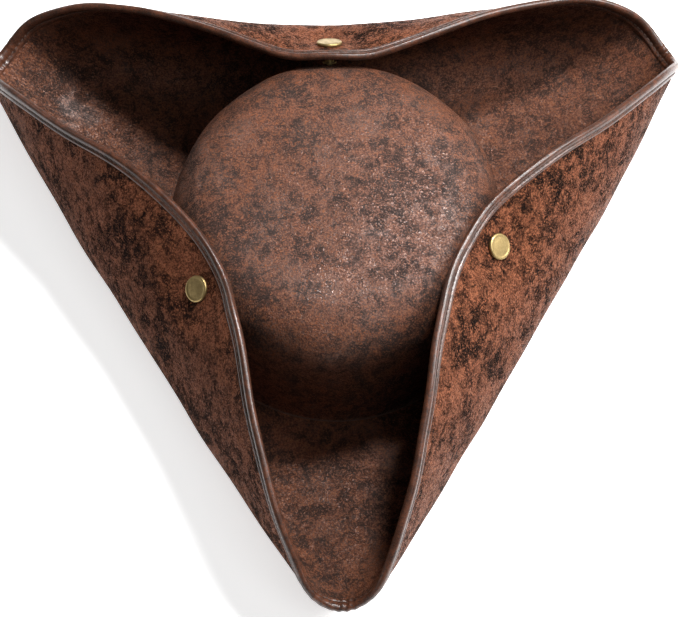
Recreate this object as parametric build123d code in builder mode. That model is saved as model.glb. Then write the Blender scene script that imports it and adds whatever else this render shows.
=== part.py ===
"""Three-cornered pirate hat: a moulded crown and a round brim snapped up in three flaps.

The frame's origin is the centre of the head opening, in the plane of the brim's
underside. +Z is up, the single front corner points to -Y. Millimetres.
"""
from build123d import *
from math import cos, degrees, radians, sin, sqrt
import os

os.makedirs("parts", exist_ok=True)

# Crown: half sizes of the oval where it meets the brim, height and shoulder
CROWN_HALF_WIDTH = 94.0
CROWN_HALF_LENGTH = 101.0
CROWN_HEIGHT = 99.0
CROWN_SHOULDER = 32.0
CROWN_DOME = 4.5
CROWN_TAPER = 0.5
CROWN_FOOT = 6.0
SHOULDER_TURN = 80.0
DOME_FLATNESS = 0.16

# Sheets glued together, outside face first
COVER = 0.8
STIFFENER = 1.4
BRIM = 2 * COVER + STIFFENER
CROWN_COVER = 0.8
CROWN_STIFFENER = 1.6
LINING = 0.5
SWEATBAND = 1.1
SWEATBAND_HEIGHT = 34.0

# Brim cut: a disc, its centre a little behind the crown's
BRIM_RADIUS = 236.0
BRIM_CENTRE_Y = 13.0

# Folds, one per flap: direction, distance of the fold, outer radii of the quarter bend
# and of the curl above it, and the curl's turn, after which the flap runs straight
FLAPS = {
    "left": {"direction": 210.0, "fold": 101.5, "bend": 25.0, "curl": 71.5, "curl_turn": 46.0},
    "right": {"direction": 330.0, "fold": 101.5, "bend": 25.0, "curl": 71.5, "curl_turn": 46.0},
    "back": {"direction": 90.0, "fold": 112.0, "bend": 31.5, "curl": 46.5, "curl_turn": 50.0},
}
HINGE_TURN = 45.0
HINGE_CLEARANCE = 1.9
CORNER_GAP = 1.5

# Cutting bodies, all larger than what they cut
REACH = 260.0
STRAIGHT = 80.0
BELOW = 10.0
TALL = 60.0
BEYOND_RIM = 1.6
BEFORE_CORNER = 0.9
CORNER_SPREAD = 0.3

# Rim hem: a folded strip over the cut edge, sewn through to just short of a flap's ends
HEM_PROUD = 0.6
HEM_WIDTH = 5.0
THREAD = 0.5
STITCH_DEPTH = 4.2
STITCH_END = 9.0
RIM_STEPS = 12

# Snap fasteners: distance from the rim, and shift along the fold from its middle
SNAP_FROM_RIM = 22.0
SNAP_SHIFT = {"left": 12.0, "right": 15.0, "back": 2.0}
CAP_RADIUS = 7.5
CAP_HEIGHT = 2.4
CAP_ROUND = 1.9
CAP_BARREL = 2.0
SOCKET_RADIUS = 6.2
SOCKET_BORE = 4.6
SOCKET_DEPTH = 2.6
STUD_HEAD = 2.6
STUD_ROUND = 0.8
STUD_BASE = 4.2
SNAP_GAP = 0.3
POST_RADIUS = 5.0
POST_BARREL = 1.5
POST_GRIP = 0.7
POST_FLANGE = 0.6
BARREL_GAP = 0.1
DRILL = 20.0
SURFACE = 0.1
SOCKET_WALL = 0.5
STUD_CLEARANCE = 0.6
WASHER = 1.0


def mid(radius):
    """Radius of the sheet's middle for a given outer radius."""
    return radius - BRIM / 2


def across(direction):
    """Section plane of a fold: x outward from the crown, y up."""
    c, s = cos(radians(direction)), sin(radians(direction))
    return Plane(origin=(0, 0, 0), x_dir=(c, s, 0), z_dir=(s, -c, 0))


def facing(direction):
    """Plane of a flap's outline: x along the fold, y up, normal outward."""
    c, s = cos(radians(direction)), sin(radians(direction))
    return Plane(origin=(0, 0, 0), x_dir=(-s, c, 0), z_dir=(c, s, 0))


def place(direction, outward, along, up):
    """A point given by its distances outward from the origin, along the fold and up."""
    c, s = cos(radians(direction)), sin(radians(direction))
    return Vector(outward * c - along * s, outward * s + along * c, up)


def profile_point(flap, length):
    """Middle of the sheet after this length from the fold: outward, up and turn in radians."""
    bend, curl = mid(flap["bend"]), mid(flap["curl"])
    turn = min(length / bend, radians(90))
    rest = max(length - bend * radians(90), 0)
    curled = min(rest / curl, radians(flap["curl_turn"]))
    straight = rest - curl * curled
    outward = flap["fold"] + bend * sin(turn) - curl * (1 - cos(curled)) - straight * sin(curled)
    up = BRIM / 2 + bend * (1 - cos(turn)) + curl * sin(curled) + straight * cos(curled)
    return outward, up, turn + curled


def flap_length(flap, along):
    """Length of the sheet from the fold to the rim at a place along the fold."""
    centre_out = BRIM_CENTRE_Y * sin(radians(flap["direction"]))
    centre_along = BRIM_CENTRE_Y * cos(radians(flap["direction"]))
    return centre_out + sqrt(BRIM_RADIUS**2 - (along - centre_along) ** 2) - flap["fold"]


def flap_end(flap, side):
    """Place along the fold where the rim comes down to the hinge line."""
    centre_out = BRIM_CENTRE_Y * sin(radians(flap["direction"]))
    centre_along = BRIM_CENTRE_Y * cos(radians(flap["direction"]))
    hinge = flap["fold"] + mid(flap["bend"]) * radians(HINGE_TURN) - centre_out
    return centre_along + side * sqrt(BRIM_RADIUS**2 - hinge**2)


def flap_section(flap, low, high):
    """Closed section of the flap's sheet between two depths from its outer face."""
    centre = (flap["fold"], flap["bend"])
    curl_centre = (flap["fold"] + flap["bend"] - flap["curl"], flap["bend"])
    start = HINGE_TURN - 90
    outer_bend = CenterArc(centre, flap["bend"] - low, start, -start)
    inner_bend = CenterArc(centre, flap["bend"] - high, start, -start)
    outer_curl = CenterArc(curl_centre, flap["curl"] - low, 0, flap["curl_turn"])
    inner_curl = CenterArc(curl_centre, flap["curl"] - high, 0, flap["curl_turn"])
    outer_end = Line(outer_curl @ 1, outer_curl @ 1 + (outer_curl % 1) * STRAIGHT)
    inner_end = Line(inner_curl @ 1, inner_curl @ 1 + (inner_curl % 1) * STRAIGHT)
    Line(outer_bend @ 0, inner_bend @ 0)
    Line(outer_end @ 1, inner_end @ 1)


def rim_outline(flap, lift):
    """Closed outline of a flap seen from outside, its rim raised by lift."""
    ends = [flap_end(flap, -1), flap_end(flap, 1)]
    rim = []
    for step in range(RIM_STEPS + 1):
        # closer together near the ends, where the rim drops fastest
        along = ends[0] + (ends[1] - ends[0]) * (1 - cos(radians(180 * step / RIM_STEPS))) / 2
        rim.append((along, profile_point(flap, flap_length(flap, along))[1] + lift))
    top = Spline(*rim)
    Polyline(top @ 1, ((top @ 1).X, -BELOW), ((top @ 0).X, -BELOW), top @ 0)


def flap_sheet(flap, low, high, lift=0.0):
    """Curled sheet of one flap between two depths, trimmed to the rim."""
    with BuildPart() as sheet:
        with BuildSketch(across(flap["direction"])):
            with BuildLine():
                flap_section(flap, low, high)
            make_face()
        extrude(amount=REACH, both=True)
        with BuildSketch(facing(flap["direction"])):
            with BuildLine():
                rim_outline(flap, lift)
            make_face()
        extrude(amount=REACH, mode=Mode.INTERSECT)
    return sheet.part


def rim_strip(flap, low, high, bottom, top):
    """Part of a sheet that lies between two heights measured from the rim."""
    with BuildPart() as strip:
        add(flap_sheet(flap, low, high, top))
        add(flap_sheet(flap, low - 1, high + 1, bottom), mode=Mode.SUBTRACT)
    return strip.part


def snap_plane(name):
    """Plane of a snap: on the middle of the sheet, normal towards the outer face."""
    flap = FLAPS[name]
    along = SNAP_SHIFT[name]
    outward, up, turn = profile_point(flap, flap_length(flap, along) - SNAP_FROM_RIM)
    origin = place(flap["direction"], outward, along, up)
    normal = place(flap["direction"], sin(turn), 0, -cos(turn))
    chord = place(flap["direction"], 0, 1, 0)
    return Plane(origin=origin, x_dir=chord, z_dir=normal)


def corner(first, second):
    """Where two fold lines cross, seen from above."""
    a, b = radians(first["direction"]), radians(second["direction"])
    spread = sin(b - a)
    x = (first["fold"] * sin(b) - second["fold"] * sin(a)) / spread
    y = (second["fold"] * cos(a) - first["fold"] * cos(b)) / spread
    return x, y


FRONT_CORNER = corner(FLAPS["left"], FLAPS["right"])
RIGHT_CORNER = corner(FLAPS["right"], FLAPS["back"])
LEFT_CORNER = corner(FLAPS["back"], FLAPS["left"])
WEDGES = {
    "left": (LEFT_CORNER, FRONT_CORNER),
    "right": (FRONT_CORNER, RIGHT_CORNER),
    "back": (RIGHT_CORNER, LEFT_CORNER),
}


def base_edge(name, low, high):
    """Upturned edge of the base along one fold, as far as the hinge line."""
    flap = FLAPS[name]
    centre = (flap["fold"], flap["bend"])
    stop = HINGE_TURN - degrees(HINGE_CLEARANCE / mid(flap["bend"]))
    with BuildPart() as edge:
        with BuildSketch(across(flap["direction"])):
            with BuildLine():
                outer = CenterArc(centre, flap["bend"] - low, -90, stop)
                inner = CenterArc(centre, flap["bend"] - high, -90, stop)
                Line(outer @ 0, inner @ 0)
                Line(outer @ 1, inner @ 1)
            make_face()
        extrude(amount=REACH, both=True)
        with BuildSketch(Plane.XY.offset(-BELOW)):
            with BuildLine():
                apex = place(flap["direction"], CORNER_GAP, 0, 0)
                ends = [apex + Vector(*point) * BEYOND_RIM for point in WEDGES[name]]
                Polyline(apex, *ends, close=True)
            make_face()
        extrude(amount=TALL, mode=Mode.INTERSECT)
    return edge.part


def base_sheet(low, high, grow=0.0):
    """Base of the brim: a flat triangle, its three upturned edges and the head opening."""
    with BuildPart() as sheet:
        with BuildSketch(Plane.XY.offset(low)):
            Polygon(FRONT_CORNER, RIGHT_CORNER, LEFT_CORNER, align=None)
        extrude(amount=high - low)
        for name in FLAPS:
            add(base_edge(name, low, high))
        with BuildSketch(Plane.XY.offset(-BELOW)):
            with Locations((0, BRIM_CENTRE_Y)):
                Circle(BRIM_RADIUS + grow)
            Ellipse(CROWN_HALF_WIDTH, CROWN_HALF_LENGTH, mode=Mode.SUBTRACT)
        extrude(amount=TALL, mode=Mode.INTERSECT)
    return sheet.part


def crown_profile(inset):
    """Half section of the crown's outside, moved inwards by inset."""
    wall = CROWN_HALF_WIDTH - inset
    top = CROWN_HEIGHT - inset
    brow = top - CROWN_DOME
    shoulder = CROWN_SHOULDER - inset
    foot = Line((wall, 0), (wall, CROWN_FOOT))
    side = Line(foot @ 1, (wall - CROWN_TAPER, brow - shoulder))
    turn = JernArc(side @ 1, side % 1, shoulder, SHOULDER_TURN)
    halfway = ((turn @ 1).X / 2, top - CROWN_DOME * DOME_FLATNESS)
    dome = ThreePointArc(turn @ 1, halfway, (0, top))
    return foot @ 0, dome @ 1


def crown_layer(outer, inner):
    """One layer of the moulded crown between two insets."""
    with BuildPart() as layer:
        with BuildSketch(Plane.XZ):
            with BuildLine():
                outer_foot, outer_top = crown_profile(outer)
                inner_foot, inner_top = crown_profile(inner)
                Line(outer_foot, inner_foot)
                Line(outer_top, inner_top)
            make_face()
        revolve(axis=Axis.Z)
        scale(by=(1, CROWN_HALF_LENGTH / CROWN_HALF_WIDTH, 1))
    return layer.part


def oval_band(outer, inner, bottom, height):
    """Upright band that follows the head oval between two insets."""
    with BuildPart() as band:
        with BuildSketch(Plane.XY.offset(bottom)):
            Ellipse(CROWN_HALF_WIDTH - outer, CROWN_HALF_LENGTH - outer)
            Ellipse(CROWN_HALF_WIDTH - inner, CROWN_HALF_LENGTH - inner, mode=Mode.SUBTRACT)
        extrude(amount=height)
    return band.part


def drill(part, plane, radius):
    """The part with a round hole through it along a snap's axis."""
    with BuildPart() as drilled:
        add(part)
        with BuildSketch(plane):
            Circle(radius)
        extrude(amount=DRILL, both=True, mode=Mode.SUBTRACT)
    return drilled.part


def save(part, label):
    """Name a finished piece and write it."""
    part.label = label
    export_step(part, f"parts/{label}.step")


# Heights along a snap's axis, from the middle of the flap's sheet
OUTER_FACE = BRIM / 2
INNER_FACE = -BRIM / 2
SOCKET_FLOOR = INNER_FACE - SOCKET_WALL
SOCKET_MOUTH = INNER_FACE - SOCKET_DEPTH
STUD_TOP = SOCKET_FLOOR - STUD_CLEARANCE


def snap_cap(plane):
    """Rounded cap on the flap's outer face, with the barrel that holds the socket."""
    with BuildPart() as cap:
        with BuildSketch(plane.offset(OUTER_FACE)):
            Circle(CAP_RADIUS)
        extrude(amount=CAP_HEIGHT)
        fillet(cap.edges().sort_by(Axis(plane.origin, plane.z_dir))[-1], CAP_ROUND)
        with BuildSketch(plane.offset(SOCKET_FLOOR)):
            Circle(CAP_BARREL)
        extrude(amount=OUTER_FACE - SOCKET_FLOOR)
    return cap.part


def snap_socket(plane):
    """Cup on the flap's inner face that takes the stud."""
    with BuildPart() as socket:
        with BuildSketch(plane.offset(SOCKET_MOUTH)):
            Circle(SOCKET_RADIUS)
            Circle(SOCKET_BORE, mode=Mode.SUBTRACT)
        extrude(amount=INNER_FACE - SOCKET_MOUTH)
        with BuildSketch(plane.offset(SOCKET_FLOOR)):
            Circle(SOCKET_RADIUS)
            Circle(CAP_BARREL, mode=Mode.SUBTRACT)
        extrude(amount=INNER_FACE - SOCKET_FLOOR)
    return socket.part


def snap_stud(plane, seat):
    """Stud on the crown: a washer and a round head that points at the flap."""
    washer_top = min(seat + WASHER, SOCKET_MOUTH - SNAP_GAP)
    with BuildPart() as stud:
        with BuildSketch(plane.offset(washer_top)):
            Circle(STUD_HEAD)
        extrude(amount=STUD_TOP - washer_top)
        fillet(stud.edges().sort_by(Axis(plane.origin, plane.z_dir))[-1], STUD_ROUND)
        with BuildSketch(plane.offset(seat)):
            Circle(STUD_BASE)
        extrude(amount=washer_top - seat)
        with BuildSketch(plane.offset(seat)):
            Circle(POST_BARREL)
        extrude(amount=POST_GRIP, mode=Mode.SUBTRACT)
    return stud.part


def snap_post(plane, seat, inside):
    """Rivet inside the crown whose barrel holds the stud."""
    with BuildPart() as post:
        with BuildSketch(plane.offset(inside - POST_FLANGE)):
            Circle(POST_RADIUS)
        extrude(amount=POST_FLANGE)
        with BuildSketch(plane.offset(inside)):
            Circle(POST_BARREL)
        extrude(amount=seat + POST_GRIP - inside)
    return post.part


def depth_along(plane, solid, spread, outermost):
    """Depth of a surface below a snap, the least or greatest over a small circle."""
    depths = []
    for angle in range(0, 360, 45):
        offset = plane.x_dir * (spread * cos(radians(angle)))
        offset += plane.y_dir * (spread * sin(radians(angle)))
        hits = solid.find_intersection_points(Axis(plane.origin + offset, -plane.z_dir))
        depths.append(min((point - plane.origin).dot(-plane.z_dir) for point, _ in hits))
    return -min(depths) if outermost else -max(depths)


# Root pieces: the crown's layers
cover_end = CROWN_COVER
stiff_end = cover_end + CROWN_STIFFENER
lining_end = stiff_end + LINING
crown_shell = crown_layer(0, cover_end)
crown_stiffener = crown_layer(cover_end, stiff_end)
crown_lining = crown_layer(stiff_end, lining_end)
crown_cavity = crown_layer(lining_end, lining_end + SURFACE)

# Snap halves on the crown, and their holes through it
for name, flap in FLAPS.items():
    plane = snap_plane(name)
    seat = depth_along(plane, crown_shell, STUD_BASE, True) + SURFACE
    inside = depth_along(plane, crown_cavity, POST_RADIUS, False) - SURFACE
    print(name, "snap: seat", round(seat, 2), "inside", round(inside, 2))
    crown_shell = drill(crown_shell, plane, POST_BARREL + BARREL_GAP)
    crown_stiffener = drill(crown_stiffener, plane, POST_BARREL + BARREL_GAP)
    crown_lining = drill(crown_lining, plane, POST_BARREL + BARREL_GAP)
    save(snap_stud(plane, seat), f"snap_stud_{name}")
    save(snap_post(plane, seat, inside), f"snap_post_{name}")

save(crown_shell, "crown_shell")
save(crown_stiffener, "crown_stiffener")
save(crown_lining, "crown_lining")
save(oval_band(lining_end, lining_end + SWEATBAND, 0, SWEATBAND_HEIGHT), "sweatband")
save(oval_band(-THREAD, 0, BRIM, THREAD), "crown_seam_stitching")

# Root pieces: the base of the brim
save(base_sheet(0, COVER), "brim_base_under_cover")
save(base_sheet(COVER, COVER + STIFFENER), "brim_base_stiffener")
save(base_sheet(COVER + STIFFENER, BRIM), "brim_base_top_cover")

# Flap pieces
for name, flap in FLAPS.items():
    plane = snap_plane(name)
    hole = CAP_BARREL + BARREL_GAP
    save(drill(flap_sheet(flap, 0, COVER), plane, hole), f"outer_cover_{name}")
    core = flap_sheet(flap, COVER, COVER + STIFFENER)
    save(drill(core, plane, hole), f"flap_stiffener_{name}")
    save(drill(flap_sheet(flap, COVER + STIFFENER, BRIM), plane, hole), f"inner_cover_{name}")
    with BuildPart() as hem:
        add(rim_strip(flap, -HEM_PROUD, BRIM + HEM_PROUD, -HEM_WIDTH, HEM_PROUD))
        add(flap_sheet(flap, 0, BRIM), mode=Mode.SUBTRACT)
    save(hem.part, f"rim_hem_{name}")
    face = BRIM + HEM_PROUD
    with BuildPart() as thread:
        add(rim_strip(flap, -HEM_PROUD - THREAD, -HEM_PROUD, -STITCH_DEPTH, THREAD - STITCH_DEPTH))
        add(rim_strip(flap, face, face + THREAD, -STITCH_DEPTH, THREAD - STITCH_DEPTH))
        first, last = flap_end(flap, -1) + STITCH_END, flap_end(flap, 1) - STITCH_END
        with BuildSketch(facing(flap["direction"])):
            with Locations(((first + last) / 2, 0)):
                Rectangle(last - first, 2 * REACH)
        extrude(amount=REACH, mode=Mode.INTERSECT)
    save(thread.part, f"rim_stitching_{name}")
    save(snap_cap(plane), f"snap_cap_{name}")
    save(snap_socket(plane), f"snap_socket_{name}")

# Root pieces: hems round the three corners of the base
for name, point in (("front", FRONT_CORNER), ("right", RIGHT_CORNER), ("left", LEFT_CORNER)):
    along = Vector(*point)
    sideways = Vector(-point[1], point[0]) * CORNER_SPREAD
    with BuildPart() as corner_hem:
        add(base_sheet(-HEM_PROUD, BRIM + HEM_PROUD, HEM_PROUD))
        add(base_sheet(0, BRIM), mode=Mode.SUBTRACT)
        with BuildSketch(Plane.XY.offset(-BELOW)):
            with BuildLine():
                Polyline(
                    along * BEFORE_CORNER + sideways,
                    along * BEYOND_RIM + sideways,
                    along * BEYOND_RIM - sideways,
                    along * BEFORE_CORNER - sideways,
                    close=True,
                )
            make_face()
            with Locations((0, BRIM_CENTRE_Y)):
                Circle(BRIM_RADIUS - HEM_WIDTH, mode=Mode.SUBTRACT)
        extrude(amount=TALL, mode=Mode.INTERSECT)
    save(corner_hem.part, f"corner_hem_{name}")
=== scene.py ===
"""Three-cornered leather hat with a moulded crown and three brim flaps that snap up against it."""

import math

import bpy
import numpy as np
from mathutils import Matrix, Vector


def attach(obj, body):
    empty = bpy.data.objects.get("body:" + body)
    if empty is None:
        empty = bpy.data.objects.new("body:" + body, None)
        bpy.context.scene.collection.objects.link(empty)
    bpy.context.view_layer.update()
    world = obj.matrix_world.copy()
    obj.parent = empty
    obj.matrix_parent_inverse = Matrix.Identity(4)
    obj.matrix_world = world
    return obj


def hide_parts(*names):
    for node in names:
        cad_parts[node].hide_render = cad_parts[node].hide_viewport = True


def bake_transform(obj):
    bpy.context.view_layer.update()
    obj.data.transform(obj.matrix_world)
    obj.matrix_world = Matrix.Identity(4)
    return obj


bl_info = {
    "name": "Three-Cornered Leather Hat",
    "version": (1, 0, 0),
    "blender": (4, 5, 0),
    "location": "View3D > Sidebar > Hat",
    "description": "Builds the leather, hems, thread and brass of a snap-brimmed hat on its frame",
    "category": "Object",
}

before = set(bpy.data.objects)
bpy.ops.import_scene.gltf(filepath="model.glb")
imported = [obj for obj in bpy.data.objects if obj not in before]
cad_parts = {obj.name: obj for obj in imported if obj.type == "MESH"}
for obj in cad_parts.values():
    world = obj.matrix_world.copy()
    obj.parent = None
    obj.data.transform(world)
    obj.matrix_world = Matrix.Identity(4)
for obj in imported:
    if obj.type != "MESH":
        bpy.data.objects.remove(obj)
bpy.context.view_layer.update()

MM = 0.001
SHEET_HALF = 1.5  # half of the brim's thickness, in millimetres, as are the lengths below
COVER = 0.8  # thickness of one layer of leather
FOOT_GAP = 0.3  # from the crown's foot to the brim's covers
CAP_TOP = 3.9  # from the middle of the brim to the top of a snap's cap
SNAP_FLAT = (8.0, 34.0)  # round a snap, where the brim is flat and where it is back to its own shape
CURL_GROWTH = {"left": 42, "right": 42, "back": 16}  # how a flap's curl opens towards its tips
BACK_BOW = 8.0  # how far out the back flap's fold bows, at most
BOW_SPAN = 240.0  # length of fold over which it bows out and comes back
TIP_RISE_START = 108.0  # from the crown's centre to where a corner starts to lift
TIP_SPREAD = 36.0  # angle to each side over which a corner's lift fades, in degrees
BLEND_SPREAD = (6.0, 44.0)  # angles from a corner between which the brim starts to follow its flap
FOLLOW_REACH = 1.9  # past the fold, in bend radii, where the brim fully follows its flap
SLOPE_STEP = 0.4  # to each side of a point, when the brim's slope is measured
TIP_HEM = 5.5  # half of the angle that a tip's own hem covers, in degrees
CROWN_DOME = 4.5  # how far the crown's top bulges over its brow
CROWN_SHOULDER = 32.0  # radius of the crown's shoulder
CROWN_LEAN = 0.5  # how far in the crown's wall leans
SHOULDER_TURN = 84.0  # how far round the shoulder's arc goes, in degrees
FLAP_DIRECTION = {"left": 210.0, "right": 330.0, "back": 90.0}
FLAP_TIPS = {
    "left": ("back_left", "front"),
    "right": ("front", "back_right"),
    "back": ("back_right", "back_left"),
}


def to_mm(length):
    return length / MM


def direction(degrees):
    turn = math.radians(degrees)
    return np.array([math.cos(turn), math.sin(turn)])


def smooth(value, low, high):
    """0 below low, 1 above high and an even S between them."""
    share = np.clip((value - low) / (high - low), 0, 1)
    return share * share * (3 - 2 * share)


# ---------------------------------------------------------------- settings


class HatSizes(bpy.types.PropertyGroup):
    brim_radius: bpy.props.FloatProperty(
        name="Brim Radius", description="Radius of the brim's flat cut", default=0.236, unit="LENGTH"
    )
    brim_shift: bpy.props.FloatProperty(
        name="Brim Shift", description="The cut's centre behind the crown's", default=0.013, unit="LENGTH"
    )
    side_fold: bpy.props.FloatProperty(
        name="Side Fold", description="Crown's centre to a side flap's fold", default=0.1015, unit="LENGTH"
    )
    back_fold: bpy.props.FloatProperty(
        name="Back Fold", description="Crown's centre to the back flap's fold", default=0.112, unit="LENGTH"
    )
    side_bend: bpy.props.FloatProperty(
        name="Side Bend", description="Radius of a side flap's bend", default=0.0235, unit="LENGTH"
    )
    back_bend: bpy.props.FloatProperty(
        name="Back Bend", description="Radius of the back flap's bend", default=0.030, unit="LENGTH"
    )
    side_curl: bpy.props.FloatProperty(
        name="Side Curl", description="Radius of a side flap's curl", default=0.084, unit="LENGTH"
    )
    back_curl: bpy.props.FloatProperty(
        name="Back Curl", description="Radius of the back flap's curl", default=0.061, unit="LENGTH"
    )
    front_rise: bpy.props.FloatProperty(
        name="Front Rise", description="Lift of the front corner's end", default=0.016, unit="LENGTH"
    )
    back_rise: bpy.props.FloatProperty(
        name="Back Rise", description="Lift of each back corner's end", default=0.034, unit="LENGTH"
    )
    crown_half_width: bpy.props.FloatProperty(
        name="Crown Half Width", description="Half of its width", default=0.094, unit="LENGTH"
    )
    crown_half_length: bpy.props.FloatProperty(
        name="Crown Half Length", description="Half of its length", default=0.101, unit="LENGTH"
    )
    crown_height: bpy.props.FloatProperty(
        name="Crown Height", description="Height of the crown's top", default=0.099, unit="LENGTH"
    )


class HatColours(bpy.types.PropertyGroup):
    leather: bpy.props.FloatVectorProperty(
        name="Leather", description="Red-brown body", default=(0.165, 0.056, 0.028), subtype="COLOR"
    )
    rubbed: bpy.props.FloatVectorProperty(
        name="Rubbed", description="Orange-brown patches", default=(0.24, 0.095, 0.045), subtype="COLOR"
    )
    # Grey specks on the leather: partly a real wax film, partly painted sheen standing in for the shine on
    # the pebbles.
    wax_and_sheen: bpy.props.FloatVectorProperty(
        name="Film", description="Grey-mauve wax film", default=(0.26, 0.19, 0.162), subtype="COLOR"
    )
    crackle: bpy.props.FloatVectorProperty(
        name="Crackle", description="Near-black cracks", default=(0.008, 0.005, 0.004), subtype="COLOR"
    )
    brass: bpy.props.FloatVectorProperty(
        name="Brass", description="Satin brass of the snaps", default=(0.44, 0.32, 0.14), subtype="COLOR"
    )
    thread: bpy.props.FloatVectorProperty(
        name="Thread", description="Dark waxed thread", default=(0.045, 0.024, 0.017), subtype="COLOR"
    )
    cloth: bpy.props.FloatVectorProperty(
        name="Lining", description="Black-brown cloth", default=(0.030, 0.024, 0.022), subtype="COLOR"
    )
    board: bpy.props.FloatVectorProperty(
        name="Board", description="Grey-brown stiffener board", default=(0.20, 0.16, 0.12), subtype="COLOR"
    )
    floor: bpy.props.FloatVectorProperty(
        name="Floor", description="Pale studio floor", default=(0.92, 0.92, 0.92), subtype="COLOR"
    )


def sizes():
    return bpy.context.scene.hat_sizes


def colours():
    return bpy.context.scene.hat_colours


# ---------------------------------------------------------------- shader maths


class Socket:
    """An output socket whose arithmetic adds Math nodes."""

    def __init__(self, shader, socket):
        self.shader = shader
        self.socket = socket

    def math(self, operation, *values):
        return self.shader.node("ShaderNodeMath", {"operation": operation}, dict(enumerate(values)))

    def __add__(self, other):
        return self.math("ADD", self, other)

    def __sub__(self, other):
        return self.math("SUBTRACT", self, other)

    def __rsub__(self, other):
        return self.math("SUBTRACT", other, self)

    def __mul__(self, other):
        return self.math("MULTIPLY", self, other)

    __radd__ = __add__
    __rmul__ = __mul__

    def larger(self, other):
        return self.math("MAXIMUM", self, other)

    def size(self):
        return self.math("ABSOLUTE", self)

    def wave(self):
        return self.math("SINE", self)


class Shader:
    """A material with one Principled BSDF, and the node calls that feed it."""

    def __init__(self, name, **constants):
        self.material = bpy.data.materials.new(name)
        self.material.use_nodes = True
        self.tree = self.material.node_tree
        self.tree.nodes.clear()
        self.surface = self.tree.nodes.new("ShaderNodeBsdfPrincipled")
        output = self.tree.nodes.new("ShaderNodeOutputMaterial")
        self.tree.links.new(self.surface.outputs[0], output.inputs[0])
        for socket, value in constants.items():
            self.set(socket.replace("_", " "), value)

    def node(self, kind, settings=None, inputs=None, out=0):
        made = self.tree.nodes.new(kind)
        for key, value in (settings or {}).items():
            setattr(made, key, value)
        for key, value in (inputs or {}).items():
            self.feed(made.inputs[key], value)
        return Socket(self, made.outputs[out])

    def feed(self, socket, value):
        if isinstance(value, Socket):
            self.tree.links.new(value.socket, socket)
        elif hasattr(value, "__len__") and len(value) == 3 and len(socket.default_value) == 4:
            socket.default_value = (*value, 1.0)
        else:
            socket.default_value = value

    def set(self, name, value):
        self.feed(self.surface.inputs[name], value)

    def grain(self):
        """Place on the flat cut, in millimetres, which keeps the pattern still when the leather bends."""
        place = self.node("ShaderNodeAttribute", {"attribute_name": "grain"}, out="Vector")
        return self.scaled(place, 1 / MM)

    def place(self):
        """Place on the object, in millimetres."""
        return self.scaled(self.node("ShaderNodeTexCoord", out="Object"), 1 / MM)

    def scaled(self, vector, factor):
        values = {"Vector": vector, "Scale": factor}
        return self.node("ShaderNodeVectorMath", {"operation": "SCALE"}, values)

    def axes(self, vector):
        split = self.node("ShaderNodeSeparateXYZ", inputs={0: vector})
        return [Socket(self, output) for output in split.socket.node.outputs]

    def noise(self, vector, per_mm, detail=3.0, roughness=0.5, distortion=0.0):
        values = {"Vector": vector, "Scale": per_mm, "Detail": detail, "Roughness": roughness}
        return self.node("ShaderNodeTexNoise", inputs=values | {"Distortion": distortion})

    def edges(self, vector, per_mm, randomness=1.0):
        """Distance from the borders of a net of cells, as a share of a cell."""
        values = {"Vector": vector, "Scale": per_mm, "Randomness": randomness}
        return self.node("ShaderNodeTexVoronoi", {"feature": "DISTANCE_TO_EDGE"}, values)

    def warped(self, vector, per_mm, reach):
        """The vector pushed about by a noise, up to reach millimetres."""
        values = {"Vector": vector, "Scale": per_mm, "Detail": 2.0}
        push = self.node("ShaderNodeTexNoise", inputs=values, out="Color")
        values = {0: push, 1: (0.5, 0.5, 0.5)}
        centred = self.node("ShaderNodeVectorMath", {"operation": "SUBTRACT"}, values)
        return self.node("ShaderNodeVectorMath", inputs={0: vector, 1: self.scaled(centred, 2 * reach)})

    def step(self, value, low, high, start=0.0, end=1.0):
        """start below low, end above high and an even S between them."""
        ends = {"Value": value, "From Min": low, "From Max": high, "To Min": start, "To Max": end}
        return self.node("ShaderNodeMapRange", {"interpolation_type": "SMOOTHSTEP"}, ends)

    def mix(self, share, low, high):
        return self.node("ShaderNodeMix", {"data_type": "RGBA"}, {0: share, 6: low, 7: high}, out=2)

    def bump(self, height, depth_mm, strength=1.0):
        values = {"Height": height, "Distance": depth_mm * MM, "Strength": strength}
        self.set("Normal", self.node("ShaderNodeBump", inputs=values))


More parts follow.
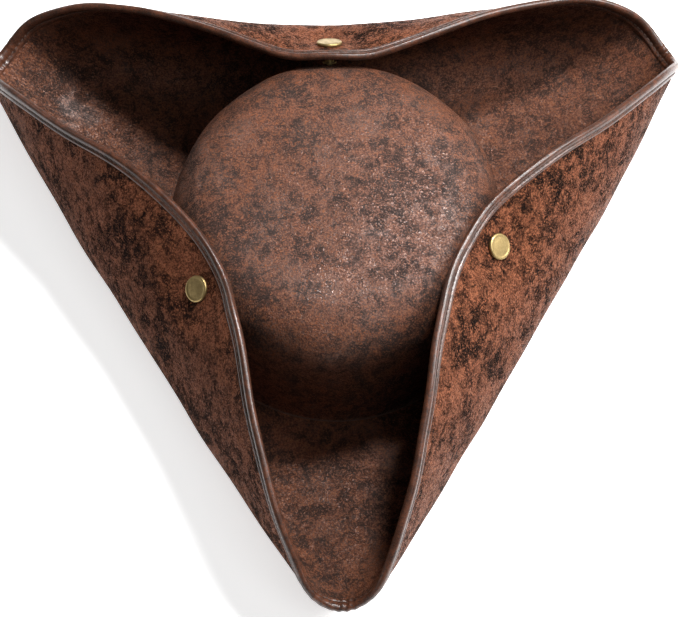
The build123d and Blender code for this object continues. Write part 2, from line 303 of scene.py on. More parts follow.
def leather(name, tone, cell, dense, coarse, wax_and_sheen, gloss, depth):
    """Distressed leather: fine pebbles, clouds of dark cracks and flecks, and grey specks that are partly a
    wax film and partly painted sheen.

    tone lightens the body colour, cell is a pebble's size in millimetres, dense the strength of the
    fine veins and flecks, coarse that of the long cracks, wax_and_sheen the share of grey specks in noisy
    patches, partly wax film and partly painted sheen, gloss the shine, and depth that of the grain, in
    millimetres.
    """
    paint = colours()
    shader = Shader(name, IOR=1.5, Specular_IOR_Level=gloss, Coat_Roughness=0.25, Coat_IOR=1.45)
    flat = shader.grain()
    bent = shader.warped(flat, 0.45, 0.9)
    cloud = shader.noise(flat, 0.026, 4.0, 0.6)
    fray = shader.noise(flat, 0.13, 6.0, 0.70, 0.7)
    spot = shader.noise(bent, 0.95, 3.0, 0.60)
    fine = shader.noise(flat, 2.6, 3.0, 0.6)
    crowd = shader.step(cloud * 0.4 + fray * 0.6, 0.44, 0.60)
    pebble = shader.edges(bent, 1 / cell)
    veins = shader.step(pebble, 0.01, crowd * 0.16 + 0.07, 1.0, 0.0)
    long_crack = (shader.noise(flat, 0.085, 8.0, 0.66, 1.4) - 0.5).size()
    short_crack = (shader.noise(bent, 0.26, 6.0, 0.68, 1.0) - 0.5).size()
    cracks = shader.step(long_crack, 0.006, 0.024, 1.0, 0.0)
    cracks = cracks.larger(shader.step(short_crack, 0.008, 0.034, 1.0, 0.0))
    flecks = shader.step(spot + crowd * 0.06, 0.515, 0.550)
    dark = (veins * (crowd * 0.5 + 0.45) * dense).larger(flecks * (crowd * 0.3 + 0.7) * dense)
    dark = dark.larger(cracks * (crowd * 0.55 + 0.45) * coarse)
    light, deep = (tuple(share * tone * c for c in paint.leather) for share in (1.0, 0.55))
    body = shader.mix(shader.step(fray, 0.36, 0.66), light, deep)
    body = shader.mix(shader.step(spot, 0.30, 0.50, 0.75, 0.0), body, paint.rubbed)
    # Painted sheen: grey specks in patches, partly a real wax film and partly a lighter colour standing in
    # for the shine on the pebbles; the same patches also lower the roughness and add coat.
    wax_and_sheen_patches = shader.step(shader.noise(flat, 0.04, 4.0, 0.6, 0.3), 0.48, 0.64)
    specks = shader.step(fine * 0.6 + spot * 0.4, 0.46, 0.58)
    body = shader.mix(wax_and_sheen_patches * specks * (0.6 * wax_and_sheen), body, paint.wax_and_sheen)
    shader.set("Base Color", shader.mix(dark, body, paint.crackle))
    shader.set("Roughness", 0.22 + dark * 0.55 + fine * 0.12 - wax_and_sheen_patches * 0.04)
    shader.set("Coat Weight", wax_and_sheen_patches * (1 - dark) * (0.5 * gloss))
    height = shader.step(pebble, 0.0, 0.32) * 0.6 - cracks * 0.35
    shader.bump(height + spot * 0.7 + fine * 0.30, depth)
    return shader.material


def rolled_leather(name):
    """The hem's strip: the same leather stretched round the edge, darker, smoother and finer."""
    paint = colours()
    shader = Shader(name, IOR=1.5, Specular_IOR_Level=0.40, Coat_Roughness=0.18)
    flat = shader.grain()
    patch = shader.noise(flat, 0.12, 6.0, 0.68, 0.5)
    spot = shader.noise(flat, 0.8, 4.0, 0.64)
    fine = shader.noise(flat, 3.0, 2.0, 0.6)
    low, high = (tuple(share * c for c in paint.leather) for share in (0.25, 0.6))
    body = shader.mix(shader.step(patch, 0.40, 0.62), low, high)
    # Painted sheen: a few grey specks of the wax-and-sheen colour on the hem.
    body = shader.mix(shader.step(fine, 0.5, 0.62) * 0.10, body, paint.wax_and_sheen)
    dark = shader.step(spot, 0.50, 0.64) * 0.8
    shader.set("Base Color", shader.mix(dark, body, paint.crackle))
    shader.set("Roughness", 0.24 + dark * 0.25 + fine * 0.08)
    shader.set("Coat Weight", patch * 0.2)
    shader.bump(spot * 0.8 + fine * 0.3, 0.2, 0.8)
    return shader.material


def woven(name, colour, pitch, rough):
    """Plain-woven cloth with threads a pitch apart, in millimetres."""
    shader = Shader(name, Sheen_Weight=0.25, Sheen_Roughness=0.5)
    place = shader.place()
    x, y, z = shader.axes(place)
    turn = 2 * math.pi / pitch
    weave = ((x + y) * turn).wave() * (z * turn).wave()
    slub = shader.noise(place, 0.4, 4.0, 0.6)
    shade = shader.step(weave * 0.5 + slub, 0.0, 1.2)
    deep, light = (tuple(share * c for c in colour) for share in (0.55, 1.5))
    shader.set("Base Color", shader.mix(shade, deep, light))
    shader.set("Roughness", rough + slub * 0.15)
    shader.bump(weave + slub * 0.5, 0.1, 0.7)
    return shader.material


def board():
    paint = colours().board
    shader = Shader("stiffener_board")
    place = shader.place()
    fibre = shader.noise(place, 0.6, 6.0, 0.7, 0.8)
    cloud = shader.noise(place, 0.06, 3.0)
    shade = shader.step(fibre * 0.7 + cloud * 0.3, 0.3, 0.7)
    shader.set("Base Color", shader.mix(shade, tuple(0.6 * c for c in paint), paint))
    shader.set("Roughness", 0.8 + fibre * 0.15)
    shader.bump(fibre, 0.15)
    return shader.material


def brass():
    paint = colours().brass
    shader = Shader("satin_brass", Metallic=1.0)
    place = shader.place()
    tarnish = shader.noise(place, 0.25, 5.0, 0.65)
    scratch = shader.noise(place, 1.6, 6.0, 0.75, 1.5)
    dull = shader.step(tarnish, 0.42, 0.66)
    shader.set("Base Color", shader.mix(dull * 0.55, paint, tuple(0.38 * c for c in paint)))
    shader.set("Roughness", 0.34 + dull * 0.18 + scratch * 0.12)
    shader.bump(scratch, 0.02, 0.5)
    return shader.material


def waxed_thread():
    paint = colours().thread
    shader = Shader("waxed_thread")
    fibre = shader.noise(shader.place(), 3.0, 4.0, 0.7)
    shader.set("Base Color", shader.mix(fibre, paint, tuple(2.2 * c for c in paint)))
    shader.set("Roughness", 0.5 + fibre * 0.2)
    shader.bump(fibre, 0.05)
    return shader.material


def studio_white():
    glow = {"Emission_Color": (1, 1, 1), "Emission_Strength": 0.65}
    shader = Shader("studio_white", Specular_IOR_Level=0.0, **glow)
    cloud = shader.noise(shader.place(), 0.004, 2.0)
    shader.set("Base Color", shader.mix(cloud, colours().floor, (0.95, 0.95, 0.95)))
    shader.set("Roughness", 0.9 + cloud * 0.05)
    return shader.material


MATERIALS = {
    "crown leather": lambda: leather("crown_leather", 1.02, 1.7, 0.90, 0.70, 0.45, 0.34, 0.14),
    "flap leather": lambda: leather("flap_leather", 1.60, 1.9, 1.0, 1.0, 0.0, 0.02, 0.30),
    "brim leather": lambda: leather("brim_leather", 0.95, 1.4, 0.85, 0.45, 0.30, 0.24, 0.24),
    "hem leather": lambda: rolled_leather("hem_leather"),
    "lining": lambda: woven("lining_cloth", colours().cloth, 0.7, 0.8),
    "sweatband": lambda: woven("sweatband_tape", tuple(1.4 * c for c in colours().cloth), 1.1, 0.72),
    "board": board,
    "brass": brass,
    "thread": waxed_thread,
    "floor": studio_white,
}


def finish_of(name):
    """The named material, made once."""
    made = bpy.context.scene.get("hat_finishes") or {}
    if name not in made:
        material = MATERIALS[name]()
        bpy.context.scene["hat_finishes"] = {**dict(made), name: material.name}
        return material
    return bpy.data.materials[made[name]]


# ---------------------------------------------------------------- mesh helpers


def piece(name, points, faces, finish, grain=None, sharp=None):
    """A mesh object from points in millimetres, with its place on the leather stored as grain."""
    points = np.asarray(points, float).reshape(-1, 3)
    mesh = bpy.data.meshes.new(name)
    mesh.from_pydata((points * MM).tolist(), [], faces)
    mesh.shade_smooth()
    flat = mesh.attributes.new("grain", "FLOAT_VECTOR", "POINT")
    place = points if grain is None else np.asarray(grain, float).reshape(-1, 3)
    flat.data.foreach_set("vector", (place * MM).astype(np.float32).ravel())
    if sharp is not None:
        mark_sharp(mesh, sharp)
    mesh.materials.append(finish_of(finish))
    made = bpy.data.objects.new(name, mesh)
    bpy.context.scene.collection.objects.link(made)
    return made


def mark_sharp(mesh, border):
    """Parts the shading of a sheet's faces from its thin edge's: border says which points lie there."""
    ends = np.zeros(len(mesh.edges) * 2, int)
    mesh.edges.foreach_get("vertices", ends)
    on_border = np.asarray(border)[ends.reshape(-1, 2)].all(axis=1)
    mesh.attributes.new("sharp_edge", "BOOLEAN", "EDGE").data.foreach_set("value", on_border)


def closed_sheet(upper, lower):
    """Points, faces and border marks of the solid between two grids of the same shape."""
    rows, columns = upper.shape[:2]
    count = rows * columns
    at = np.arange(count).reshape(rows, columns)
    quads = np.stack([at[:-1, :-1], at[:-1, 1:], at[1:, 1:], at[1:, :-1]], -1).reshape(-1, 4)
    ring = np.concatenate([at[0, :-1], at[:-1, -1], at[-1, :0:-1], at[:0:-1, 0]])
    following = np.roll(ring, -1)
    walls = np.stack([following, ring, ring + count, following + count], -1)
    faces = np.concatenate([quads, quads[:, ::-1] + count, walls]).tolist()
    border = np.zeros(count, bool)
    border[ring] = True
    return np.concatenate([upper.reshape(-1, 3), lower.reshape(-1, 3)]), faces, np.tile(border, 2)


def tube_faces(stations, sides):
    """Faces of a closed tube of rings, with a cap at each end."""
    at = np.arange(stations * sides).reshape(stations, sides)
    around = np.roll(at, -1, axis=1)
    quads = np.stack([at[:-1], at[1:], around[1:], around[:-1]], -1).reshape(-1, 4)
    return quads.tolist() + [at[0].tolist(), at[-1, ::-1].tolist()]


# ---------------------------------------------------------------- the brim's shape


class Brim:
    """The brim's middle surface over its flat cut, in millimetres."""

    def __init__(self):
        made = sizes()
        self.radius = to_mm(made.brim_radius)
        self.shift = to_mm(made.brim_shift)
        self.oval = (to_mm(made.crown_half_width), to_mm(made.crown_half_length))
        side = (to_mm(made.side_fold), to_mm(made.side_bend), to_mm(made.side_curl))
        back = (to_mm(made.back_fold), to_mm(made.back_bend), to_mm(made.back_curl))
        self.folds = {"left": side, "right": side, "back": back}
        self.bows = {"left": 0.0, "right": 0.0, "back": BACK_BOW}
        self.rises = {
            "front": to_mm(made.front_rise),
            "back_left": to_mm(made.back_rise),
            "back_right": to_mm(made.back_rise),
        }
        self.tips = {
            "front": 270.0,
            "back_right": self.corner("right", "back"),
            "back_left": 180.0 - self.corner("right", "back"),
        }
        self.snaps = {flap: snap_place(flap) for flap in FLAP_DIRECTION}

    def corner(self, one, other):
        """Azimuth, in degrees, where two fold lines meet."""
        lines = np.array([direction(FLAP_DIRECTION[one]), direction(FLAP_DIRECTION[other])])
        meeting = np.linalg.solve(lines, [self.folds[one][0], self.folds[other][0]])
        return math.degrees(math.atan2(meeting[1], meeting[0]))

    def rim(self, azimuth):
        """Distance of the cut's edge from the crown's centre."""
        turn = np.radians(azimuth)
        return self.shift * np.sin(turn) + np.sqrt(self.radius**2 - (self.shift * np.cos(turn)) ** 2)

    def head(self, azimuth):
        """Distance of the crown's foot from its centre."""
        turn = np.radians(azimuth)
        return 1 / np.hypot(np.cos(turn) / self.oval[0], np.sin(turn) / self.oval[1])

    def past_fold(self, flap, x, y):
        """How far a point of the cut lies past a flap's fold line."""
        out = direction(FLAP_DIRECTION[flap])
        along = y * out[0] - x * out[1]
        fold = self.folds[flap][0] + self.bows[flap] * np.sin(along * math.pi / BOW_SPAN) ** 2
        return np.maximum(x * out[0] + y * out[1] - fold, 0)

    def fold(self, flap, x, y):
        """Outward shift and rise that a flap's bend and curl give to a point of the cut."""
        out = direction(FLAP_DIRECTION[flap])
        decimetres = (y * out[0] - x * out[1]) / 100
        _, bend, curl = self.folds[flap]
        curl = curl + CURL_GROWTH[flap] * decimetres**2
        past = self.past_fold(flap, x, y)
        quarter = bend * math.pi / 2
        turned = np.minimum(past, quarter) / bend
        curled = np.maximum(past - quarter, 0) / curl
        outward = bend * np.sin(turned) + curl * (np.cos(curled) - 1)
        return outward - past, bend * (1 - np.cos(turned)) + curl * np.sin(curled)

    def from_tip(self, tip, azimuth):
        """Angle from a tip's line, in degrees, negative before it."""
        return (azimuth - self.tips[tip] + 180) % 360 - 180

    def middle(self, x, y):
        """Point of the middle surface for a point of the flat cut."""
        raised = np.stack([x, y, np.full_like(x, SHEET_HALF)], -1)
        for flap, degrees in FLAP_DIRECTION.items():
            outward, up = self.fold(flap, x, y)
            out = direction(degrees)
            raised += np.stack([outward * out[0], outward * out[1], up], -1)
        distance = np.hypot(x, y)
        azimuth = np.degrees(np.arctan2(y, x))
        edge = self.rim(azimuth)
        for tip, rise in self.rises.items():
            share = 1 - smooth(np.abs(self.from_tip(tip, azimuth)), 0, TIP_SPREAD)
            lift = np.clip((distance - TIP_RISE_START) / (edge - TIP_RISE_START), 0, 1.1) ** 2
            raised[..., 2] += rise * lift * share
        raised += self.unevenness(x, y, distance)
        for flap, (centre, normal) in self.snaps.items():
            away = np.linalg.norm(raised - centre, axis=-1)
            height = (raised - centre) @ normal
            pull = 1 - smooth(away, *SNAP_FLAT)
            raised -= (height * pull)[..., None] * normal
        return raised

    def unevenness(self, x, y, distance):
        """Soft waves that a hand-shaped brim keeps, none at the crown's foot."""
        wave = 0.9 * np.sin(x / 27 + 0.6) * np.cos(y / 33 - 0.4)
        wave = wave + 0.5 * np.sin(x / 13 - y / 17 + 1.1) + 0.35 * np.cos(x / 9.5 + y / 12.5)
        lift = wave * smooth(distance, 106, 150)
        away = np.stack([x, y, np.zeros_like(x)], -1) / distance[..., None]
        steep = smooth(distance, 120, 150)[..., None]
        upward = np.array([0.0, 0.0, 1.0]) * (1 - steep)
        return lift[..., None] * (0.75 * steep * away + 0.5 * upward)

    def puckers(self, azimuth, distance):
        """Height of the small gathers where the hem is eased round a tip."""
        height = np.zeros_like(distance)
        inwards = self.rim(azimuth) - distance
        for tip in self.tips:
            arc = np.radians(self.from_tip(tip, azimuth)) * self.rim(azimuth)
            share = (1 - smooth(np.abs(arc), 10, 27)) * (1 - smooth(inwards, 2.5, 15))
            fold = np.cos(arc * 2 * math.pi / 5.6 + 1.1 * np.sin(arc / 6))
            height += share * (0.20 + 0.13 * np.sin(arc / 4.1 + 1)) * fold
        return height

    def layer(self, azimuth, distance, offset):
        """Points at an offset from the middle surface, for azimuths in degrees and distances on the cut."""
        turn = np.radians(azimuth)
        x = distance * np.cos(turn)
        y = distance * np.sin(turn)
        along_x = self.middle(x + SLOPE_STEP, y) - self.middle(x - SLOPE_STEP, y)
        along_y = self.middle(x, y + SLOPE_STEP) - self.middle(x, y - SLOPE_STEP)
        normal = np.cross(along_x, along_y)
        normal /= np.linalg.norm(normal, axis=-1, keepdims=True)
        height = offset + self.puckers(azimuth, distance)
        return self.middle(x, y) + normal * height[..., None]

    def cut(self, azimuth, distance, side=0.0):
        """Place on the flat cut, with side telling the two faces apart."""
        turn = np.radians(azimuth)
        return np.stack([distance * np.cos(turn), distance * np.sin(turn), side + 0 * distance], -1)

    def span(self, flap, margin=0.0):
        """First and last azimuth of a flap's sector of the brim, in degrees."""
        first, last = (self.tips[tip] for tip in FLAP_TIPS[flap])
        return first + margin, first + (last - first) % 360 - margin

    def weight(self, flap, cut):
        """How far a point of the cut follows the flap: 0 before the bend and near the tips, 1 past it."""
        x, y = cut[:, 0], cut[:, 1]
        _, bend, _ = self.folds[flap]
        follow = smooth(self.past_fold(flap, x, y), 0, FOLLOW_REACH * bend)
        azimuth = np.degrees(np.arctan2(y, x))
        for tip in FLAP_TIPS[flap]:
            follow = follow * smooth(np.abs(self.from_tip(tip, azimuth)), *BLEND_SPREAD)
        return follow


def snap_place(flap):
    """Centre, on the brim's middle surface, and outward normal of a flap's snap, from its cap's node."""
    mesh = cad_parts["snap_cap_" + flap].data
    points = np.array([v.co for v in mesh.vertices], float) / MM
    middle = points.mean(axis=0)
    axes = np.linalg.svd(points - middle, full_matrices=False)[2]
    normal = min(axes, key=lambda axis: np.ptp(points @ axis))
    if normal[:2] @ direction(FLAP_DIRECTION[flap]) < 0:
        normal = -normal
    across = points - np.outer((points - middle) @ normal, normal)
    centre = 0.5 * (across.max(axis=0) + across.min(axis=0))
    reach = ((points - centre) @ normal).max()
    return centre + normal * (reach - CAP_TOP), normal


def bend_with(made, brim, flap, cut):
    """Bakes a piece's placement into its points and works out, by each point's place on the cut, how far it
    would follow its flap; nothing uses these weights, so the piece does not bend.
    """
    out = Vector((*direction(FLAP_DIRECTION[flap]), 0.0))
    fold, bend, _ = brim.folds[flap]
    out * fold * MM
    out * (fold + bend) * MM
    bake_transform(made)
    weights = brim.weight(flap, np.asarray(cut, float).reshape(-1, 3))


CROWDING = 0.62  # how much closer the columns of a sheet's points stand at the tips
AREA_STEPS = 4001
BRIM_LAYERS = {
    # finish, slot, the flap's and the base's nodes that it stands for, how far inside the cut's edge it
    # ends, and its columns and rows of points
    "top": ("brim leather", "distressed_leather", "inner_cover_", "brim_base_top_cover", 1.2, 230, 54),
    "under": ("flap leather", "distressed_leather", "outer_cover_", "brim_base_under_cover", 1.2, 230, 54),
    "core": ("board", "stiffener_board", "flap_stiffener_", "brim_base_stiffener", 2.0, 90, 30),
}


def brim_sheet(layer, flap, low, high):
    """One layer of a flap's sector, from the crown's foot to the hem, with its flat size and area."""
    finish, slot, flap_node, base_node, inset, columns, rows = BRIM_LAYERS[layer]
    brim = Brim()
    first, last = brim.span(flap)
    share = np.linspace(0, 1, columns)
    share = share - CROWDING * np.sin(2 * math.pi * share) / (2 * math.pi)
    azimuth, reach = np.meshgrid(first + (last - first) * share, np.linspace(0, 1, rows), indexing="ij")
    inner = brim.head(azimuth) + FOOT_GAP
    distance = inner + (brim.rim(azimuth) - inset - inner) * reach
    upper = brim.layer(azimuth, distance, np.full_like(distance, high))
    lower = brim.layer(azimuth, distance, np.full_like(distance, low))
    points, faces, border = closed_sheet(lower, upper)
    cut = np.concatenate([brim.cut(azimuth, distance, side).reshape(-1, 3) for side in (low, high)])
    made = piece(f"brim_{layer}_{flap}", points, faces, finish, cut, border)
    bend_with(made, brim, flap, cut)
    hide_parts(flap_node + flap, *[base_node] * (flap == "back"))
    out = direction(FLAP_DIRECTION[flap])
    degrees = np.linspace(first, last, AREA_STEPS)
    rings = ((brim.rim(degrees) - inset) ** 2 - (brim.head(degrees) + FOOT_GAP) ** 2) / 2
    area = rings.mean() * math.radians(last - first)
    width = np.ptp(-cut[:, 0] * out[1] + cut[:, 1] * out[0])
    depth = np.ptp(cut[:, 0] * out[0] + cut[:, 1] * out[1])
    return made, (width * MM, depth * MM), float(area * MM * MM)


HEM_PROFILE = [
    # distance in from the edge of the cut and height over the brim's face
    (6.3, -0.10),
    (5.9, 0.18),
    (5.4, 0.52),
    (4.9, 0.60),
    (4.4, 0.42),
    (4.0, 0.08),
    (3.6, 0.06),
    (3.1, 0.30),
    (2.5, 0.62),
    (1.7, 0.78),
    (0.9, 0.70),
    (0.2, 0.32),
    (-0.3, -0.35),
    (-0.55, -1.0),
]
HEM_PITCH = 1.4  # between the hem's rings of points
TIP_HEM_PITCH = 0.55
GROOVE = (3.8, 0.28)  # distance in and height of the middle of the thread
STITCH_PITCH = 3.6
STITCH_LENGTH = 2.6
STITCH_RADIUS = 0.3
STITCH_SIDES = 6
STITCH_SECTION = [(-0.5, 0.25), (-0.42, 0.85), (0.0, 1.0), (0.42, 0.85), (0.5, 0.25)]  # shares of both


def hem_ring():
    """The hem's section: in over the top face, round the edge and back over the under face."""
    top = [(inwards, SHEET_HALF + over) for inwards, over in HEM_PROFILE]
    return np.array(top + [(inwards, -height) for inwards, height in reversed(top)])


def hem_strip(name, first, last, pitch):
    """Hem along the rim between two azimuths, with a ring of points every pitch."""
    brim = Brim()
    ring = hem_ring()
    stations = max(8, int(math.radians(last - first) * brim.radius / pitch))
    azimuth, side = np.meshgrid(np.linspace(first, last, stations), np.arange(len(ring)), indexing="ij")
    distance = brim.rim(azimuth) - ring[side, 0]
    points = brim.layer(azimuth, distance, ring[side, 1])
    cut = brim.cut(azimuth, distance, ring[side, 1]).reshape(-1, 3)
    end = np.zeros(azimuth.shape, bool)
    end[0] = end[-1] = True
    faces = tube_faces(stations, len(ring))
    made = piece(name, points, faces, "hem leather", cut, end.ravel())
    return made, brim, cut


def stitches(name, first, last):
    """Separate stitches in the hem's groove, on both faces of the brim."""
    brim = Brim()
    count = int(math.radians(last - first) * brim.radius / STITCH_PITCH)
    step = (last - first) / count
    along, thick = np.array(STITCH_SECTION).T
    along = along * STITCH_LENGTH / brim.radius
    thick = thick * STITCH_RADIUS
    spoke = np.linspace(0, 2 * math.pi, STITCH_SIDES + 1)[:-1]
    points, faces, cut = [], [], []
    for side in (1, -1):
        for number in range(count):
            centre = first + step * (number + 0.5)
            azimuth, around = np.meshgrid(centre + np.degrees(along), spoke, indexing="ij")
            width = np.repeat(thick[:, None], len(spoke), axis=1)
            distance = brim.rim(azimuth) - GROOVE[0] + width * np.cos(around)
            height = side * (SHEET_HALF + GROOVE[1] + width * np.sin(around))
            start = sum(len(block) for block in points)
            points.append(brim.layer(azimuth, distance, height).reshape(-1, 3))
            cut.append(brim.cut(azimuth, distance).reshape(-1, 3))
            faces += [[start + corner for corner in face] for face in tube_faces(len(along), len(spoke))]
    cut = np.concatenate(cut)
    return piece(name, np.concatenate(points), faces, "thread", cut), brim, cut


# ---------------------------------------------------------------- operators


class HAT_OT_crown(bpy.types.Operator):
    """Moulded leather, stiffener and lining of the crown"""

    bl_idname = "hat.crown"
    bl_label = "Crown Layers"

    def execute(self, context):
        layers = (
            ("crown_leather", 0.0, 0.8, "crown leather", "distressed_leather", "crown_shell", 220),
            ("crown_form", 0.8, 2.4, "board", "stiffener_board", "crown_stiffener", 110),
            ("crown_lining_cloth", 2.4, 2.9, "lining", "lining_cloth", "crown_lining", 110),
        )
        for name, outer, inner, finish, slot, node, columns in layers:
            made = crown_layer(name, outer, inner, finish, columns)
            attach(made, "root")
            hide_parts(node)
        return {"FINISHED"}


def crown_layer(name, outer, inner, finish, columns):
    """One layer of the crown between two depths from its outside."""
    rings = np.stack([crown_surface(depth, columns) for depth in (outer, inner)])
    rows = rings.shape[1]
    count = rows * columns
    at = np.arange(count).reshape(rows, columns)
    side = np.roll(at, -1, axis=1)
    quads = np.stack([at[:-1], side[:-1], side[1:], at[1:]], -1).reshape(-1, 4)
    foot = np.stack([side[0], at[0], at[0] + count, side[0] + count], -1)
    faces = np.concatenate([quads, quads[:, ::-1] + count, foot]).tolist()
    faces += [at[-1].tolist(), (at[-1, ::-1] + count).tolist()]
    border = np.zeros((2, rows, columns), bool)
    border[:, 0] = True
    return piece(name, rings, faces, finish, sharp=border.ravel())


def crown_surface(depth, columns):
    """Grid of points on the crown at a depth from its outside, from the foot to the middle of the top."""
    made = sizes()
    wide, long = to_mm(made.crown_half_width), to_mm(made.crown_half_length)
    top = to_mm(made.crown_height)
    section = crown_profile(wide - depth, top - depth, CROWN_DOME, CROWN_SHOULDER - depth)
    turn = np.linspace(0, 2 * math.pi, columns + 1)[:-1]
    radius, height = section[:, 0, None], section[:, 1, None]
    swell = crown_swell(turn[None, :], height + depth) * smooth(height, 2, 30) * radius / wide
    x = radius * np.cos(turn) * (1 + swell / wide)
    y = radius * np.sin(turn) * long / wide * (1 + swell / long)
    return np.stack([x, y, height + crown_dip(x, y, height + depth, top)], -1)


def crown_profile(wall, top, dome, shoulder):
    """Radius and height pairs from the crown's foot over the shoulder to just short of its middle."""
    brow = top - dome
    side = [(wall - CROWN_LEAN * share, (brow - shoulder) * share) for share in np.linspace(0, 1, 18)]
    centre = wall - CROWN_LEAN - shoulder
    arc = [
        (centre + shoulder * math.cos(angle), brow - shoulder + shoulder * math.sin(angle))
        for angle in np.linspace(0, math.radians(SHOULDER_TURN), 22)[1:]
    ]
    reach, low = arc[-1]
    over = [(reach * share, low + (top - low) * (1 - share**2)) for share in np.linspace(1, 0.004, 30)[1:]]
    return np.array(side + arc + over)


def crown_swell(turn, height):
    """Soft unevenness of the crown's wall and shoulder."""
    wave = 0.7 * np.sin(2 * turn + 0.7) + 0.45 * np.cos(5 * turn + height / 21)
    return wave * smooth(height, 8, 50) + 0.35 * np.sin(9 * turn - height / 9) * smooth(height, 20, 60)


def crown_dip(x, y, height, top):
    """Slight hollows and swells over the crown's top."""
    on_top = smooth(height, top - 34, top - 8)
    return on_top * (0.5 * np.sin(x / 19 + 0.5) * np.cos(y / 23) - 0.25 * np.cos(x / 11 - y / 14))


class HAT_OT_covers(bpy.types.Operator):
    """Leather on both faces of the brim, and the stiffener between them"""

    bl_idname = "hat.covers"
    bl_label = "Brim Covers"

    def execute(self, context):
        core = SHEET_HALF - COVER
        for flap in FLAP_DIRECTION:
            top, flat, area = brim_sheet("top", flap, core, SHEET_HALF)
            under, _, _ = brim_sheet("under", flap, -SHEET_HALF, -core)
            middle, _, _ = brim_sheet("core", flap, -core, core)
        return {"FINISHED"}


class HAT_OT_hems(bpy.types.Operator):
    """Turned hem and its thread along the rim, with gathers at the three tips"""

    bl_idname = "hat.hems"
    bl_label = "Rim Hems"

    def execute(self, context):
        for flap in FLAP_DIRECTION:
            first, last = Brim().span(flap, TIP_HEM)
            hem, brim, cut = hem_strip("brim_hem_" + flap, first, last, HEM_PITCH)
            bend_with(hem, brim, flap, cut)
            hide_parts("rim_hem_" + flap)
            thread, brim, cut = stitches("hem_thread_" + flap, first, last)
            bend_with(thread, brim, flap, cut)
            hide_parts("rim_stitching_" + flap)
        for tip, place in Brim().tips.items():
            ends = (place - TIP_HEM, place + TIP_HEM)
            hem, _, _ = hem_strip("tip_hem_" + tip, *ends, TIP_HEM_PITCH)
            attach(hem, "root")
            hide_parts("corner_hem_" + tip.removeprefix("back_"))
            thread, _, _ = stitches("tip_thread_" + tip, *ends)
            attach(thread, "root")
        return {"FINISHED"}


CAP_SIDES = 56
CAP_PROFILE = [
    # radius and height of a snap's cap, from the middle of its top round its rolled edge
    (0.0, 3.62),
    (2.2, 3.60),
    (4.2, 3.52),
    (5.4, 3.42),
    (5.9, 3.44),
    (6.4, 3.60),
    (6.9, 3.55),
    (7.3, 3.20),
    (7.5, 2.60),
    (7.45, 2.0),
    (7.1, 1.55),
    (6.2, 1.35),
    (4.4, 1.30),
    (4.4, -0.40),
    (0.0, -0.40),
]


class HAT_OT_caps(bpy.types.Operator):
    """Rolled-edge brass caps of the three snaps"""

    bl_idname = "hat.caps"
    bl_label = "Snap Caps"

    def execute(self, context):
        turn = np.linspace(0, 2 * math.pi, CAP_SIDES + 1)[:-1]
        for flap in FLAP_DIRECTION:
            centre, normal = snap_place(flap)
            across = np.cross(normal, [0.0, 0.0, 1.0])
            across /= np.linalg.norm(across)
            up = np.cross(across, normal)
            circle = np.outer(np.cos(turn), across) + np.outer(np.sin(turn), up)
            rings = [centre + normal * height + radius * circle for radius, height in CAP_PROFILE[1:-1]]
            first = centre + normal * CAP_PROFILE[0][1]
            last = centre + normal * CAP_PROFILE[-1][1]
            points = np.concatenate([*rings, [first], [last]])
            at = np.arange(len(rings) * CAP_SIDES).reshape(len(rings), CAP_SIDES)
            side = np.roll(at, -1, axis=1)
            faces = np.stack([at[:-1], at[1:], side[1:], side[:-1]], -1).reshape(-1, 4).tolist()
            faces += [[int(a), int(b), at.size] for a, b in zip(at[0], side[0])]
            faces += [[int(b), int(a), at.size + 1] for a, b in zip(at[-1], side[-1])]
            cap = piece("snap_top_" + flap, points, faces, "brass")
            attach(cap, flap + "_flap")
            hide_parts("snap_cap_" + flap)
        return {"FINISHED"}


class HAT_OT_fittings(bpy.types.Operator):
    """Finishes for the frame's own pieces: snaps, sweatband and the crown's seam thread"""

    bl_idname = "hat.fittings"
    bl_label = "Fittings"

    def execute(self, context):
        finishes = {
            "snap_": "brass",
            "sweatband": "sweatband",
            "crown_seam_stitching": "thread",
        }
        for name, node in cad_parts.items():
            kinds = [finish for start, finish in finishes.items() if name.startswith(start)]
            kind = kinds[0] if kinds else "brim leather"
            node.data.materials.clear()
            node.data.materials.append(finish_of(kind))
        return {"FINISHED"}


FLOOR_HALF = 4000.0
FLOOR_POINTS = 9
FLOOR_DROP = 0.2  # keeps the floor just under the brim
WORLD_STRENGTH = 0.05
SOFTBOXES = {
    # place and side length in metres, and power in watts
    "key": ((1.20, 0.15, 1.15), 0.6, 30.0),
    "shine": ((0.42, 0.46, 1.23), 0.22, 24.0),
    "front": ((0.45, -0.75, 1.55), 0.9, 5.0),
    "left_back": ((-1.1, 0.9, 0.8), 0.25, 1.2),
}


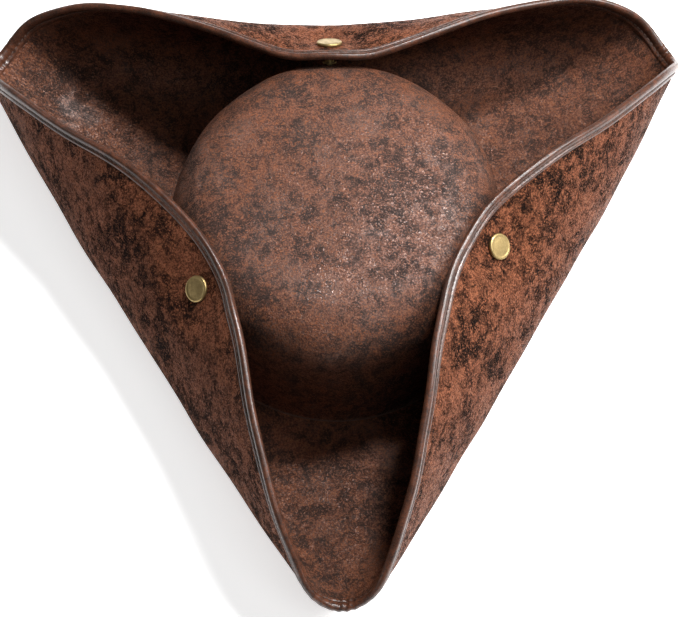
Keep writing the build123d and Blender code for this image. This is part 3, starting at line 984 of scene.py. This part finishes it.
class HAT_OT_stage(bpy.types.Operator):
    """Pale floor, soft light and camera"""

    bl_idname = "hat.stage"
    bl_label = "Stage"

    def execute(self, context):
        scene = context.scene
        scene.view_settings.view_transform = "Standard"
        line = np.linspace(-FLOOR_HALF, FLOOR_HALF, FLOOR_POINTS)
        x, y = np.meshgrid(line, line, indexing="ij")
        at = np.arange(x.size).reshape(x.shape)
        quads = np.stack([at[:-1, :-1], at[1:, :-1], at[1:, 1:], at[:-1, 1:]], -1).reshape(-1, 4).tolist()
        floor = piece("floor", np.stack([x, y, np.full_like(x, -FLOOR_DROP)], -1), quads, "floor")
        world = bpy.data.worlds.new("soft_studio")
        world.use_nodes = True
        background = world.node_tree.nodes["Background"]
        background.inputs["Color"].default_value = (1, 1, 1, 1)
        background.inputs["Strength"].default_value = WORLD_STRENGTH
        scene.world = world
        for name, (place, size, power) in SOFTBOXES.items():
            self.softbox(name, place, size, power)
        self.camera(scene)
        return {"FINISHED"}

    def softbox(self, name, place, size, power):
        light = bpy.data.lights.new(name, "AREA")
        light.size = size
        light.energy = power
        made = bpy.data.objects.new(name, light)
        made.location = place
        made.rotation_euler = (Vector((0, 0, 0.05)) - Vector(place)).to_track_quat("-Z", "Y").to_euler()
        bpy.context.scene.collection.objects.link(made)

    def camera(self, scene):
        target = Vector((0.0013, -0.0475, 0.040))
        distance, tilt, turn = 1.25, math.radians(61.0), math.radians(1.0)
        width_seen, sensor = 0.3891, 36.0
        lens = bpy.data.cameras.new("camera")
        lens.sensor_width = sensor
        lens.lens = sensor * distance / width_seen
        made = bpy.data.objects.new("camera", lens)
        level = math.cos(tilt)
        back = Vector((-level * math.sin(turn), -level * math.cos(turn), math.sin(tilt)))
        facing = back.to_track_quat("Z", "Y").to_matrix().to_4x4()
        made.matrix_world = Matrix.Translation(target + back * distance) @ facing
        scene.collection.objects.link(made)
        scene.camera = made


class HAT_PT_panel(bpy.types.Panel):
    """Steps that build the hat, in order"""

    bl_idname = "HAT_PT_panel"
    bl_label = "Three-Cornered Hat"
    bl_space_type = "VIEW_3D"
    bl_region_type = "UI"
    bl_category = "Hat"

    def draw(self, context):
        for group in (context.scene.hat_sizes, context.scene.hat_colours):
            for name in group.__annotations__:
                self.layout.prop(group, name)
        for step in STEPS:
            self.layout.operator(step.bl_idname)


STEPS = (HAT_OT_crown, HAT_OT_covers, HAT_OT_hems, HAT_OT_caps, HAT_OT_fittings, HAT_OT_stage)
CLASSES = (HatSizes, HatColours, *STEPS, HAT_PT_panel)


def register():
    for item in CLASSES:
        bpy.utils.register_class(item)
    bpy.types.Scene.hat_sizes = bpy.props.PointerProperty(type=HatSizes)
    bpy.types.Scene.hat_colours = bpy.props.PointerProperty(type=HatColours)


def unregister():
    del bpy.types.Scene.hat_colours
    del bpy.types.Scene.hat_sizes
    for item in reversed(CLASSES):
        bpy.utils.unregister_class(item)


def main():
    register()
    bpy.ops.hat.stage()
    bpy.ops.hat.crown()
    bpy.ops.hat.covers()
    bpy.ops.hat.hems()
    bpy.ops.hat.caps()
    bpy.ops.hat.fittings()


if __name__ == "__main__":
    main()
